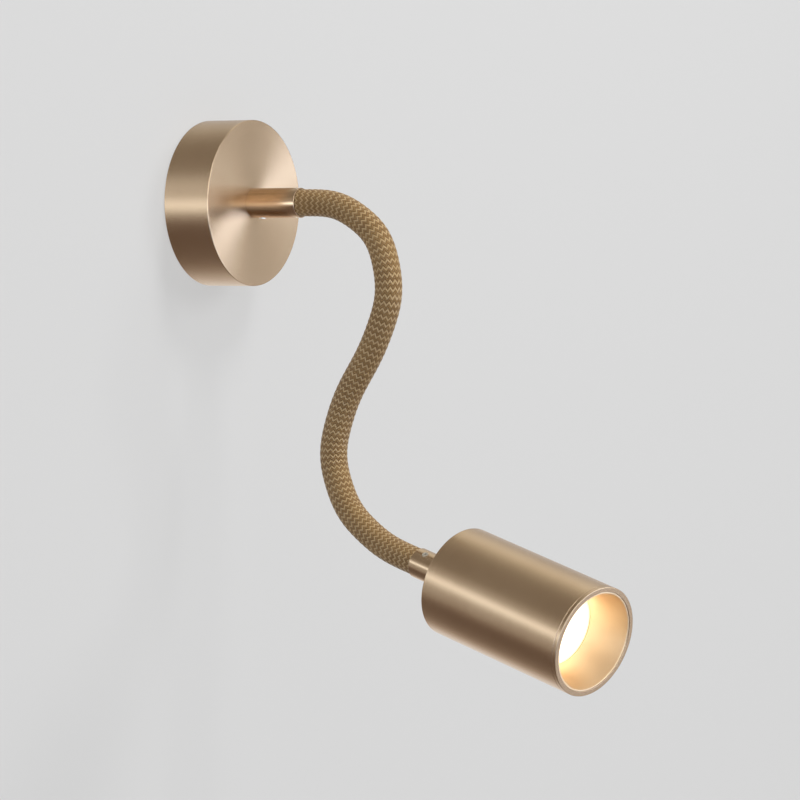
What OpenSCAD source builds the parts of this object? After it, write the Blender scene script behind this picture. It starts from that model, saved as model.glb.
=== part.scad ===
// Adjustable wall spotlight: round rose, textile covered flexible arm and a cylindrical lamp head.
// X runs along the wall, Y goes into the wall, Z is up. The origin is the centre of the wall plate's back.

/* [Rose] */
// Outer diameter of the rose
rose_d = 80; // [76:1:110]
// How far the rose stands off the wall
rose_depth = 25; // [25:0.5:40]
// Sheet thickness of the rose cover
rose_wall = 1.6; // [1:0.1:2.2]
// Chamfer round the front edge of the rose
rose_edge = 0.5; // [0.2:0.1:1]

/* [Wall plate] */
// Thickness of the wall plate
plate_t = 1.5; // [1:0.1:2]
// Gap between the plate's edge and the inside of the cover
plate_gap = 2.4; // [2:0.1:3]
// Distance between the two wall screws
screw_spacing = 54; // [50:1:55]
// Width of a wall screw slot
slot_w = 4.6; // [4:0.1:5]
// Length of a wall screw slot, end to end
slot_len = 9; // [7:0.5:11]
// Diameter of the hole for the supply cable
cable_hole_d = 18; // [14:0.5:20]
// Width of the tabs that the cover is screwed to
tab_w = 14; // [10:0.5:15]
// How far the tabs stand off the wall
tab_reach = 13; // [12:0.5:16]
// Height of the cover screws above the wall
cover_screw_z = 8.5; // [7:0.5:9]
// Thread diameter of the cover screws and the earth screw
screw_d = 4; // [3:0.5:4]

/* [Terminal block] */
// Width of the terminal block along the wall
block_w = 27; // [24:0.5:30]
// Height of the terminal block up the wall
block_h = 12; // [11:0.5:13]
// How far the terminal block stands off the plate
block_depth = 13; // [11:0.5:15]
// Gap between the terminal block and the plate's upper edge
block_gap = 10; // [9:0.5:12]
// Distance between two poles
pole_pitch = 8; // [7:0.5:8.5]
// Diameter of a wire hole in the block
wire_hole_d = 3.2; // [2.4:0.1:3.6]
// Diameter of a terminal screw
terminal_d = 3.4; // [3:0.1:3.8]
// Outer diameter of a single lead
lead_d = 1.8; // [1.2:0.1:2]
// Distance of the earth screw below the cable hole's centre
earth_drop = 20; // [17:0.5:24]

/* [Ferrules] */
// Outer diameter of both ferrules
ferrule_d = 14.4; // [14.2:0.1:18]
// Length of both ferrules
ferrule_len = 27; // [24:0.5:40]
// Depth of the wider bore that holds the sleeve
grip_depth = 3; // [2:0.5:4]
// Chamfer round the ferrule's mouth
ferrule_edge = 0.3; // [0.1:0.1:0.4]
// Diameter of the locking screws
grub_d = 3; // [2.5:0.1:4]
// Distance of the wall ferrule's locking screw from the rose
wall_grub_at = 4.5; // [3:0.5:7]
// Distance of the head ferrule's locking screw from the ferrule's mouth
head_grub_at = 6; // [5.5:0.5:9]
// Angle of the head ferrule's locking screw round the ferrule, from straight up
head_grub_turn = 39; // [-90:1:90]
// Outer diameter of the hollow threaded nipples
nipple_d = 9.9; // [9:0.1:10.4]
// Bore of the threaded nipples
nipple_bore = 6.4; // [5.6:0.1:7]
// How far a nipple reaches into its ferrule
nipple_reach = 10; // [8:0.5:12]
// Width across the flats of the nipple nuts
nut_af = 14; // [12:0.5:16]
// Thickness of a nipple nut
nut_t = 3; // [2:0.5:4]
// Thickness of the washer under the rose's nut
washer_t = 0.8; // [0.5:0.1:1.2]

/* [Arm] */
// Length of one link of the arm, from joint to joint
link_pitch = 28; // [26:0.5:34]
// Downward bend of links 1 to 4 in degrees
upper_bend = [32, 43, 37, 12]; // [1:1:45]
// Downward bend of links 5 to 8 in degrees
lower_bend = [-18, -40, -32, -18]; // [-45:1:-1]
// Sideways bend of links 1 to 4 in degrees
upper_lean = [-5, -2, 0, -1]; // [-8:1:8]
// Sideways bend of links 5 to 8 in degrees
lower_lean = [-1, -1, -2, -3]; // [-8:1:8]
// Length of the first joint's stub outside its ferrule
stub = 8; // [7:0.5:12]
// Straight run of a link after its ball
ball_run = 3; // [3:0.5:4]
// Straight run of a link before its cup
cup_run = 5; // [5:0.5:6]
// Outer diameter of the arm's core
core_d = 9.9; // [9.2:0.1:10]
// Diameter of the ball at the start of each link
ball_d = 10.3; // [10.2:0.1:10.4]
// Bore of the core, for the cable
core_bore = 5.2; // [4.6:0.1:5.6]
// Diameter of the cable
cable_d = 4.9; // [4:0.1:5]
// Thickness of the textile sleeve
sleeve_t = 1.05; // [0.6:0.05:1.1]

/* [Lamp head] */
// Outer diameter of the head
head_d = 52; // [52:1:70]
// Length of the head, with its front ring
head_len = 83.5; // [83:0.5:110]
// Wall thickness of the head's tube
head_wall = 1.5; // [1:0.1:1.8]
// Thickness of the head's rear wall
head_back_t = 2; // [1.5:0.1:3]
// Chamfer round the head's rear edge
head_edge = 0.4; // [0.2:0.1:1]
// Length of the front ring's visible band
ring_band = 2; // [1.5:0.1:4]
// Depth of the fine groove behind the front ring
ring_groove = 0.3; // [0.2:0.1:0.5]
// Length of the front ring's collar inside the tube
ring_collar = 8; // [5:0.5:10]
// Thickness of the front ring's collar
collar_t = 0.75; // [0.6:0.05:0.9]
// Depth of the reflector behind the lip
reflector_depth = 18; // [14:0.5:19]
// Wall thickness of the reflector
reflector_t = 0.7; // [0.6:0.1:1]
// Inner diameter of the reflector's small end
reflector_back_d = 33.6; // [32.5:0.1:34]

/* [Lamp and holder] */
// Diameter of the lamp's rim
lamp_d = 35; // [34:0.5:36]
// Length of the lamp's straight rim
lamp_rim = 4; // [3:0.5:6]
// Diameter of the lamp's lens
lens_d = 32.4; // [30:0.2:32.6]
// Thickness of the lamp's lens
lens_t = 1.2; // [1:0.1:2]
// Diameter of the lamp's ceramic base
base_d = 19; // [17:0.5:20]
// Length of the lamp's ceramic base
base_len = 9; // [7:0.5:11]
// Distance between the lamp's two pins
pin_pitch = 10; // [9:0.5:10]
// Diameter of a pin's end stud
stud_d = 4.8; // [4:0.1:5]
// Diameter of a pin's neck
neck_d = 3; // [2:0.1:3.4]
// Length of a pin
pin_len = 7; // [6:0.5:8]
// Diameter of the lamp holder's body
holder_d = 19; // [18:0.5:19.4]
// Length of the lamp holder's body
holder_len = 16; // [14:0.5:17]
// Thickness of the lamp holder's fixing ears
ear_t = 3; // [2:0.5:4]
// Sheet thickness of the holder bracket
bracket_t = 1.2; // [0.8:0.1:1.6]
// Width of the holder bracket
bracket_w = 12; // [11.5:0.5:14]
// Overall span of the holder bracket
bracket_span = 34; // [33:0.5:38]
// Height of the holder bracket off the rear wall
bracket_rise = 14; // [12:0.5:15]
// Distance between the holder's two screws
holder_screw_pitch = 25; // [25:0.5:26]
// Thread diameter of the small screws
small_screw_d = 2.9; // [2.5:0.1:3]

/* [Hidden] */
$fn = 48;

// Clearances: threads and close fits, the running fit of a ball joint, the sleeve round it, loose holes
fit = 0.05;
ball_fit = 0.25;
sleeve_room = 0.35;
loose = 0.2;
// Cutting tools run this far past the face that they cut
past = 1;

// Colours
bronze = [0.68, 0.56, 0.45];
dark_bronze = [0.5, 0.4, 0.31];
brass = [0.78, 0.66, 0.4];
steel = [0.75, 0.75, 0.76];
zinc = [0.66, 0.67, 0.68];
textile = [0.49, 0.38, 0.24];
porcelain = [0.93, 0.92, 0.88];
nylon = [0.9, 0.9, 0.86];
brown = [0.4, 0.22, 0.12];
blue = [0.15, 0.3, 0.65];
green = [0.45, 0.6, 0.15];
black = [0.08, 0.08, 0.08];
glow = [1, 0.95, 0.85];

// Rose and wall plate
rose_r = rose_d / 2;
rose_inner_r = rose_r - rose_wall;
plate_r = rose_inner_r - plate_gap;
screw_r = screw_d / 2;
// A screw's end stands this far out of the piece it holds
screw_end = 2;
cover_screw_len = rose_wall + plate_gap + plate_t + screw_end;
slot_r = slot_w / 2;
// A hexagon socket, as shares of its screw's radius and of its length or diameter
socket_width = 0.5;
socket_depth = 0.4;
// A straight driver slot
driver_slot_w = 0.7;
driver_slot_depth = 0.8;

// Terminal block
pole_rise = 4.5;
pole_z = plate_t + pole_rise;
block_rise = plate_r - block_gap - block_h;
pole_y = block_rise + block_h / 2;
screw_row = block_h / 4;
wire_hole_r = wire_hole_d / 2;
terminal_r = terminal_d / 2;
lead_r = lead_d / 2;
lead_tip = 3;
earth_head_r = screw_d;
earth_head_t = screw_d * 0.6;
earth_tag_t = 0.8;
earth_tag_rim = 0.6;
earth_rise = 5;

// Ferrules and nipples
ferrule_r = ferrule_d / 2;
nipple_r = nipple_d / 2;
nipple_tail = 1.5;
thread_r = nipple_r + fit;
grub_r = grub_d / 2;
grub_proud = 0.3;
nut_r = nut_af / 2 / cos(30);
washer_r = nut_r + 0.6;
// A nipple passes the wall, any washer and the nut, and stands a little way out of the nut
rose_stack = rose_wall + washer_t + nut_t + nipple_tail;
head_stack = head_back_t + bracket_t + nut_t + nipple_tail;

// Arm
arm_bend = concat(upper_bend, lower_bend);
arm_lean = concat(upper_lean, lower_lean);
joint_count = len(arm_bend) + 1;
arc_len = link_pitch - ball_run - cup_run;
// Straight parts are this much thicker than the arcs, which run into them by this share of their length
hair = 0.02;
lap = 0.4 / arc_len;
core_r = core_d / 2;
ball_r = ball_d / 2;
cup_r = ball_r + ball_fit;
core_bore_r = core_bore / 2;
cable_r = cable_d / 2;
sleeve_in_r = ball_r + sleeve_room;
sleeve_r = sleeve_in_r + sleeve_t;
core_seat_r = max(core_r, nipple_r) + fit;
grip_r = sleeve_r + 0.1;
// The cable's sheath ends a little way past the nipples
sheath_past = 1.5;

// Head
head_r = head_d / 2;
head_in_r = head_r - head_wall;
tube_len = head_len - ring_band;
collar_r = head_in_r - 0.1;
collar_in_r = collar_r - collar_t;
reflector_r = collar_in_r - fit;
reflector_inset = 0.3;
reflector_front_z = head_len - reflector_inset;
reflector_back_z = head_len - reflector_depth;
reflector_rim = 1.6;
reflector_back_r = reflector_back_d / 2;

// Lamp, from its lens back to its pins
lamp_front_z = reflector_back_z - 0.6;
lamp_r = lamp_d / 2;
lens_r = lens_d / 2;
lens_inset = 0.3;
base_r = base_d / 2;
holder_z = head_back_t + bracket_rise;
holder_top_z = holder_z + holder_len;
holder_r = holder_d / 2;
lamp_back_z = holder_top_z + 0.3;
stud_len = 2;
pin_hole_r = stud_d / 2 + 0.2;
holder_screw_r = small_screw_d / 2;
holder_screw_head_r = small_screw_d * 0.95;
holder_screw_head_t = 1.8;

// Rigid motions as matrices
function shift(v) = [[1, 0, 0, v.x], [0, 1, 0, v.y], [0, 0, 1, v.z], [0, 0, 0, 1]];
function along(z) = shift([0, 0, z]);
function turn_x(a) = [[1, 0, 0, 0], [0, cos(a), -sin(a), 0], [0, sin(a), cos(a), 0], [0, 0, 0, 1]];
function turn_z(a) = [[cos(a), -sin(a), 0, 0], [sin(a), cos(a), 0, 0], [0, 0, 1, 0], [0, 0, 0, 1]];

// Each link is straight at its joints and bends along one arc between them. The arc's plane is turned
// about the link by the roll, so a link can bend down and sideways at once.
function link_bend(i) = max(0.5, norm([arm_bend[i - 1], arm_lean[i - 1]]));
function link_roll(i) = atan2(arm_lean[i - 1], arm_bend[i - 1]);
function arc_radius(i) = arc_len / (link_bend(i) * PI / 180);
function arc_move(i) =
    let (a = link_bend(i), r = arc_radius(i))
    turn_z(link_roll(i)) * shift([0, -r * (1 - cos(a)), r * sin(a)]) * turn_x(a) * turn_z(-link_roll(i));

// Frames: z points out of the wall, along the arm and out of the lamp; y starts upwards
wall_frame = turn_x(90);
function joint_frame(i) =
    i == 1 ? wall_frame * along(rose_depth + ferrule_len + stub)
    : joint_frame(i - 1) * along(ball_run) * arc_move(i - 1) * along(cup_run);
head_frame = joint_frame(joint_count) * along(stub + ferrule_len);

module on_wall() {
    multmatrix(wall_frame) children();
}

module at_joint(i) {
    multmatrix(joint_frame(i)) children();
}

module on_head() {
    multmatrix(head_frame) children();
}

// The two ferrules sit on flat seats; z goes from the seat towards the arm
module on_wall_seat() {
    on_wall() translate([0, 0, rose_depth]) children();
}

module on_head_seat() {
    on_head() rotate([180, 0, 0]) children();
}

module ring(r_out, r_in) {
    difference() {
        circle(r = r_out);
        if (r_in > 0) circle(r = r_in);
    }
}

module tube(r_out, r_in, from, to) {
    translate([0, 0, from])
        linear_extrude(height = to - from)
            ring(r_out, r_in);
}

// A slot across the top of a screw, whose top is at z = 0
module driver_slot(length) {
    cube([length, driver_slot_w, 2 * driver_slot_depth], center = true);
}

// A tube along link i's arc between two fractions of it. It passes z = 0 of the frame at fraction 0,
// and a negative fraction lies behind that, on the same circle.
module arc_tube(i, from, to, r_out, r_in) {
    radius = arc_radius(i);
    multmatrix(turn_z(link_roll(i)) * [[0, 0, 1, 0], [1, 0, 0, -radius], [0, 1, 0, 0], [0, 0, 0, 1]])
        rotate([0, 0, link_bend(i) * from])
            rotate_extrude(angle = link_bend(i) * (to - from))
                translate([radius, 0])
                    ring(r_out, r_in);
}

// A tube across joint i, from the middle of one link to the middle of the next. The first and the last
// one run straight into their ferrules, by the length reach past the joint. The straight part is a
// hair thicker than the arcs, which run a little way into it.
module tube_across(i, r_out, r_in, reach) {
    before = i == 1 ? reach : cup_run;
    after = i == joint_count ? reach : ball_run;
    at_joint(i) {
        if (i > 1)
            translate([0, 0, -cup_run]) arc_tube(i - 1, -0.5, lap, r_out, r_in);
        tube(r_out + hair, r_in > 0 ? r_in - hair : 0, -before, after);
        if (i < joint_count)
            translate([0, 0, ball_run]) arc_tube(i, -lap, 0.5, r_out, r_in);
    }
}

// A lead along a curve with four control points, swept as an eight sided tube
function curve_point(p, t) =
    p[0] * pow(1 - t, 3) + p[1] * 3 * t * pow(1 - t, 2) + p[2] * 3 * t * t * (1 - t) + p[3] * pow(t, 3);
function curve_slope(p, t) =
    (p[1] - p[0]) * pow(1 - t, 2) + (p[2] - p[1]) * 2 * t * (1 - t) + (p[3] - p[2]) * t * t;
function unit(v) = v / norm(v);

module lead(p) {
    sides = 8;
    rings = 14;
    points = [
        for (k = [0:rings])
            let (c = curve_point(p, k / rings), t = unit(curve_slope(p, k / rings)),
                 u = unit(cross([1, 0, 0], t)), v = cross(t, u))
            for (s = [0:sides - 1])
                let (a = 360 * s / sides) c + (u * cos(a) + v * sin(a)) * lead_r
    ];
    walls = [
        for (k = [0:rings - 1], s = [0:sides - 1])
            let (n = (s + 1) % sides, b = k * sides)
            for (f = [[b + s, b + s + sides, b + n], [b + n, b + s + sides, b + n + sides]]) f
    ];
    first = [for (s = [0:sides - 1]) s];
    last = [for (s = [sides - 1:-1:0]) rings * sides + s];
    polyhedron(points = points, faces = concat(walls, [first, last]), convexity = 4);
}

// Threaded fittings, all on a seat with z towards the arm

module nipple(stack) {
    tube(nipple_r, nipple_bore / 2, -stack, nipple_reach);
}

module hex_nut(top) {
    translate([0, 0, -top - nut_t])
        difference() {
            cylinder(r = nut_r, h = nut_t, $fn = 6);
            translate([0, 0, -past]) cylinder(r = thread_r, h = nut_t + 2 * past);
        }
}

module ferrule(grub_z) {
    difference() {
        rotate_extrude()
            polygon([
                [core_seat_r, 0],
                [ferrule_r, 0],
                [ferrule_r, ferrule_len - ferrule_edge],
                [ferrule_r - ferrule_edge, ferrule_len],
                [grip_r, ferrule_len],
                [grip_r, ferrule_len - grip_depth],
                [core_seat_r, ferrule_len - grip_depth]
            ]);
        translate([0, 0, grub_z]) rotate([90, 0, 0]) cylinder(r = grub_r + fit, h = ferrule_r + past);
    }
}

// A locking screw from a ferrule's bore to just proud of its outside, with its hexagon socket
module grub_screw(grub_z) {
    grub_len = ferrule_r + grub_proud - core_seat_r;
    translate([0, 0, grub_z])
        rotate([90, 0, 0])
            translate([0, 0, core_seat_r])
                difference() {
                    cylinder(r = grub_r, h = grub_len);
                    translate([0, 0, grub_len * (1 - socket_depth)])
                        cylinder(r = grub_r * socket_width, h = grub_len, $fn = 6);
                }
}

// Pieces of the rose

module rose_cover() {
    color(bronze)
        on_wall()
            difference() {
                rotate_extrude()
                    polygon([
                        [thread_r + loose, rose_depth - rose_wall],
                        [rose_inner_r, rose_depth - rose_wall],
                        [rose_inner_r, 0],
                        [rose_r, 0],
                        [rose_r, rose_depth - rose_edge],
                        [rose_r - rose_edge, rose_depth],
                        [thread_r + loose, rose_depth]
                    ]);
                for (side = [-1, 1])
                    translate([0, 0, cover_screw_z])
                        rotate([-90 * side, 0, 0])
                            cylinder(r = screw_r + loose, h = rose_r + past);
            }
}

module plate_outline() {
    difference() {
        circle(r = plate_r);
        circle(r = cable_hole_d / 2);
        for (side = [-1, 1])
            translate([side * screw_spacing / 2, 0]) {
                square([slot_len - slot_w, slot_w], center = true);
                for (end = [-1, 1])
                    translate([end * (slot_len - slot_w) / 2, 0])
                        circle(r = slot_r);
            }
        translate([0, -earth_drop]) circle(r = screw_r + fit);
    }
}

module wall_plate() {
    tab_y = sqrt(pow(plate_r, 2) - pow(tab_w / 2, 2));
    color(zinc)
        on_wall()
            difference() {
                union() {
                    linear_extrude(height = plate_t) plate_outline();
                    for (side = [-1, 1])
                        translate([-tab_w / 2, side > 0 ? tab_y - plate_t : -tab_y, 0])
                            cube([tab_w, plate_t, tab_reach]);
                }
                for (side = [-1, 1])
                    translate([0, 0, cover_screw_z])
                        rotate([-90 * side, 0, 0])
                            translate([0, 0, plate_r - plate_t - 2 * past])
                                cylinder(r = screw_r + fit, h = plate_t + 4 * past);
            }
}

module cover_screws() {
    color(steel)
        on_wall()
            for (side = [-1, 1])
                translate([0, 0, cover_screw_z])
                    rotate([-90 * side, 0, 0])
                        translate([0, 0, rose_r - loose - cover_screw_len])
                            difference() {
                                cylinder(r = screw_r, h = cover_screw_len);
                                translate([0, 0, cover_screw_len - screw_d * socket_depth])
                                    cylinder(r = screw_r * socket_width, h = screw_d, $fn = 6);
                            }
}

module terminal_block() {
    color(nylon)
        on_wall()
            difference() {
                translate([-block_w / 2, block_rise, plate_t]) cube([block_w, block_h, block_depth]);
                for (pole = [-1, 0, 1]) {
                    translate([pole * pole_pitch, block_rise - past, pole_z])
                        rotate([-90, 0, 0])
                            cylinder(r = wire_hole_r, h = block_h + 2 * past);
                    for (row = [-1, 1])
                        translate([pole * pole_pitch, pole_y + row * screw_row, pole_z])
                            cylinder(r = terminal_r + fit, h = block_depth);
                }
            }
}

// Two slotted screws on each pole, each standing on the wire hole's middle
module terminal_screws() {
    screw_h = block_depth * 0.4;
    color(brass)
        on_wall()
            for (pole = [-1, 0, 1], row = [-1, 1])
                translate([pole * pole_pitch, pole_y + row * screw_row, pole_z + wire_hole_r])
                    difference() {
                        cylinder(r = terminal_r, h = screw_h);
                        translate([0, 0, screw_h]) driver_slot(2 * terminal_d);
                    }
}

// A pan head screw and the ring tag of the earth lead under it
module earth_screw() {
    color(brass)
        on_wall()
            translate([0, -earth_drop, 0])
                difference() {
                    union() {
                        translate([0, 0, loose]) cylinder(r = screw_r, h = plate_t + earth_tag_t);
                        translate([0, 0, plate_t])
                            cylinder(r = earth_head_r + earth_tag_rim, h = earth_tag_t);
                        translate([0, 0, plate_t + earth_tag_t])
                            cylinder(r = earth_head_r, h = earth_head_t);
                    }
                    translate([0, 0, plate_t + earth_tag_t + earth_head_t])
                        driver_slot(3 * screw_d);
                }
}

// Leads leave the sheath's end side by side and reach their poles from below
sheath_end_z = rose_depth - rose_stack - sheath_past;
lead_ring = cable_r - lead_r - 0.2;
lead_sweep = 5;
lead_turn = 3;

function pole_route(pole, start) = [
    [start.x, start.y, sheath_end_z],
    [start.x, start.y, sheath_end_z - lead_turn],
    [pole * pole_pitch, block_rise - lead_sweep, pole_z],
    [pole * pole_pitch, block_rise + lead_tip, pole_z]
];

module lead_live() {
    color(brown) on_wall() lead(pole_route(-1, lead_ring * [-cos(30), sin(30)]));
}

module lead_neutral() {
    color(blue) on_wall() lead(pole_route(1, lead_ring * [cos(30), sin(30)]));
}

module lead_earth() {
    earth_end_y = earth_head_r + earth_tag_rim + lead_r - earth_drop;
    color(green)
        on_wall()
            lead([
                [0, -lead_ring, sheath_end_z],
                [0, -lead_ring, sheath_end_z - lead_turn],
                [0, -cable_hole_d / 2, plate_t + earth_rise],
                [0, earth_end_y, plate_t + lead_r]
            ]);
}

module wall_nipple() {
    color(zinc) on_wall_seat() nipple(rose_stack);
}

module wall_nut() {
    color(brass) on_wall_seat() hex_nut(rose_wall + washer_t);
}

module wall_washer() {
    color(steel) on_wall_seat() tube(washer_r, thread_r + loose, -rose_wall - washer_t, -rose_wall);
}

module wall_ferrule() {
    color(bronze) on_wall_seat() ferrule(wall_grub_at);
}

module wall_grub_screw() {
    color(steel) on_wall_seat() grub_screw(wall_grub_at);
}

// Pieces of the arm

// The fixed end of the arm's core, with the cup of the first joint
module arm_socket() {
    color(steel)
        at_joint(1)
            difference() {
                tube(core_r, core_bore_r, -stub - ferrule_len + nipple_reach, 0);
                sphere(r = cup_r);
            }
}

// A link starts with a ball that turns in the cup before it, cut off flat where the arc begins
module link_start() {
    difference() {
        union() {
            sphere(r = ball_r);
            cylinder(r = core_r + hair, h = ball_run + past);
        }
        translate([0, 0, -ball_r - past])
            cylinder(r = core_bore_r - hair, h = 2 * (ball_r + past));
        translate([0, 0, ball_run]) cylinder(r = 2 * ball_r, h = ball_r);
    }
}

// and it ends with the cup of the next joint
module link_end() {
    difference() {
        tube(core_r + hair, core_bore_r - hair, 0, cup_run);
        translate([0, 0, cup_run]) sphere(r = cup_r);
    }
}

module link(i) {
    color(steel)
        at_joint(i) {
            link_start();
            translate([0, 0, ball_run]) arc_tube(i, -lap, 1 + lap, core_r, core_bore_r);
            multmatrix(along(ball_run) * arc_move(i)) link_end();
        }
}

module sleeve(i) {
    color(textile) tube_across(i, sleeve_r, sleeve_in_r, stub + grip_depth);
}

module cable(i) {
    stack = i == 1 ? rose_stack : head_stack;
    color(black) tube_across(i, cable_r, 0, stub + ferrule_len + stack + sheath_past);
}

// The head's end of the arm's core: the last ball and a tube up to the head's nipple
module arm_tail() {
    color(steel)
        at_joint(joint_count)
            difference() {
                union() {
                    sphere(r = ball_r);
                    cylinder(r = core_r, h = stub + ferrule_len - nipple_reach);
                }
                translate([0, 0, -ball_r - past])
                    cylinder(r = core_bore_r, h = ball_r + stub + ferrule_len + past);
            }
}

// Pieces of the head

module head_ferrule() {
    color(bronze) on_head_seat() rotate([0, 0, -head_grub_turn]) ferrule(ferrule_len - head_grub_at);
}

module head_grub_screw() {
    color(steel) on_head_seat() rotate([0, 0, -head_grub_turn]) grub_screw(ferrule_len - head_grub_at);
}

module head_nipple() {
    color(zinc) on_head_seat() nipple(head_stack);
}

module head_nut() {
    color(brass) on_head_seat() hex_nut(head_back_t + bracket_t);
}

module lamp_housing() {
    color(bronze)
        on_head()
            rotate_extrude()
                polygon([
                    [thread_r + loose, 0],
                    [head_r - head_edge, 0],
                    [head_r, head_edge],
                    [head_r, tube_len - ring_groove],
                    [head_r - ring_groove, tube_len],
                    [head_in_r, tube_len],
                    [head_in_r, head_back_t],
                    [thread_r + loose, head_back_t]
                ]);
}

// A strap clamped under the head's nut, with two legs and two inward feet for the holder's screws
module holder_bracket() {
    foot = (bracket_span - holder_screw_pitch) / 2 + small_screw_d + 0.8;
    color(zinc)
        on_head()
            difference() {
                union() {
                    translate([-bracket_span / 2, -bracket_w / 2, head_back_t])
                        cube([bracket_span, bracket_w, bracket_t]);
                    for (side = [-1, 1]) {
                        translate([side > 0 ? bracket_span / 2 - bracket_t : -bracket_span / 2,
                                   -bracket_w / 2, head_back_t])
                            cube([bracket_t, bracket_w, bracket_rise]);
                        translate([side > 0 ? bracket_span / 2 - foot : -bracket_span / 2,
                                   -bracket_w / 2, holder_z - bracket_t])
                            cube([foot, bracket_w, bracket_t]);
                    }
                }
                translate([0, 0, head_back_t - past])
                    cylinder(r = thread_r + loose, h = bracket_t + 2 * past);
                for (side = [-1, 1])
                    translate([side * holder_screw_pitch / 2, 0, holder_z - bracket_t - past])
                        cylinder(r = holder_screw_r + fit, h = bracket_t + 2 * past);
            }
}

module lampholder() {
    ear_span = holder_screw_pitch + 2 * holder_screw_head_r + 0.4;
    color(porcelain)
        on_head()
            difference() {
                union() {
                    translate([0, 0, holder_z]) cylinder(r = holder_r, h = holder_len);
                    translate([-ear_span / 2, -bracket_w / 2, holder_z]) cube([ear_span, bracket_w, ear_t]);
                }
                for (side = [-1, 1]) {
                    translate([side * pin_pitch / 2, 0, holder_top_z - pin_len - 1])
                        cylinder(r = pin_hole_r, h = pin_len + 1 + past);
                    translate([side * pin_pitch / 2, 0, holder_z - past])
                        cylinder(r = lead_r + loose, h = lead_tip + past);
                    translate([side * holder_screw_pitch / 2, 0, holder_z - past])
                        cylinder(r = holder_screw_r + loose, h = ear_t + 2 * past);
                }
            }
}

module holder_screws() {
    shank = ear_t + bracket_t + screw_end;
    color(steel)
        on_head()
            for (side = [-1, 1])
                translate([side * holder_screw_pitch / 2, 0, holder_z + ear_t])
                    difference() {
                        union() {
                            translate([0, 0, -shank]) cylinder(r = holder_screw_r, h = shank);
                            cylinder(r = holder_screw_head_r, h = holder_screw_head_t);
                        }
                        for (turn = [0, 90])
                            translate([0, 0, holder_screw_head_t])
                                rotate([0, 0, turn])
                                    driver_slot(small_screw_d);
                    }
}

module head_lead(side) {
    sheath_z = head_stack + sheath_past;
    on_head()
        lead([
            [side * lead_ring, 0, sheath_z],
            [side * lead_ring, 0, sheath_z + lead_turn],
            [side * pin_pitch / 2, 0, holder_z - lead_turn],
            [side * pin_pitch / 2, 0, holder_z + lead_tip / 2]
        ]);
}

module head_lead_live() {
    color(brown) head_lead(-1);
}

module head_lead_neutral() {
    color(blue) head_lead(1);
}

// Ceramic base, flared cup and straight rim, with a seat for the lens
module lamp_body() {
    color(porcelain)
        on_head()
            rotate_extrude()
                polygon([
                    [0, lamp_back_z],
                    [base_r, lamp_back_z],
                    [base_r, lamp_back_z + base_len],
                    [lamp_r, lamp_front_z - lamp_rim],
                    [lamp_r, lamp_front_z],
                    [lens_r + fit, lamp_front_z],
                    [lens_r + fit, lamp_front_z - lens_inset - lens_t],
                    [0, lamp_front_z - lens_inset - lens_t]
                ]);
}

module lamp_lens() {
    color(glow)
        on_head()
            translate([0, 0, lamp_front_z - lens_inset - lens_t])
                cylinder(r = lens_r, h = lens_t);
}

module lamp_pins() {
    color(steel)
        on_head()
            for (side = [-1, 1])
                translate([side * pin_pitch / 2, 0, lamp_back_z - pin_len]) {
                    cylinder(r = stud_d / 2, h = stud_len);
                    cylinder(r = neck_d / 2, h = pin_len);
                }
}

// Front ring, whose collar slides into the tube and whose bevel makes the groove behind the lip
module front_ring() {
    color(bronze)
        on_head()
            rotate_extrude()
                polygon([
                    [collar_in_r, tube_len - ring_collar],
                    [collar_r, tube_len - ring_collar],
                    [collar_r, tube_len],
                    [head_r - ring_groove, tube_len],
                    [head_r, tube_len + ring_groove],
                    [head_r, head_len - ring_groove],
                    [head_r - ring_groove, head_len],
                    [collar_in_r, head_len]
                ]);
}

// A cone from the lamp's face to the lip, with a short straight rim that is held in the ring
module reflector() {
    color(dark_bronze)
        on_head()
            rotate_extrude()
                polygon([
                    [reflector_back_r, reflector_back_z],
                    [reflector_back_r + reflector_t, reflector_back_z],
                    [reflector_r, reflector_front_z - reflector_rim],
                    [reflector_r, reflector_front_z],
                    [reflector_r - reflector_t, reflector_front_z]
                ]);
}

rose_cover();
wall_plate();
cover_screws();
terminal_block();
terminal_screws();
earth_screw();
lead_live();
lead_neutral();
lead_earth();
wall_nipple();
wall_nut();
wall_washer();
wall_ferrule();
wall_grub_screw();
arm_socket();
link(1);  // link_1
link(2);  // link_2
link(3);  // link_3
link(4);  // link_4
link(5);  // link_5
link(6);  // link_6
link(7);  // link_7
link(8);  // link_8
sleeve(1);  // sleeve_1
sleeve(2);  // sleeve_2
sleeve(3);  // sleeve_3
sleeve(4);  // sleeve_4
sleeve(5);  // sleeve_5
sleeve(6);  // sleeve_6
sleeve(7);  // sleeve_7
sleeve(8);  // sleeve_8
sleeve(9);  // sleeve_9
cable(1);  // cable_1
cable(2);  // cable_2
cable(3);  // cable_3
cable(4);  // cable_4
cable(5);  // cable_5
cable(6);  // cable_6
cable(7);  // cable_7
cable(8);  // cable_8
cable(9);  // cable_9
arm_tail();
head_ferrule();
head_grub_screw();
head_nipple();
head_nut();
lamp_housing();
holder_bracket();
lampholder();
holder_screws();
head_lead_live();
head_lead_neutral();
lamp_body();
lamp_lens();
lamp_pins();
front_ring();
reflector();
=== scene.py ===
"""Adjustable wall spotlight: brushed bronze rose, textile covered flexible arm and lit cylindrical head.

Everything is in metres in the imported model's frame: x along the wall, y into the wall, z up, with the
origin at the centre of the wall plate's back.
"""
import math

import bmesh
import bpy
import numpy as np
from mathutils import Matrix, Vector


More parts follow.
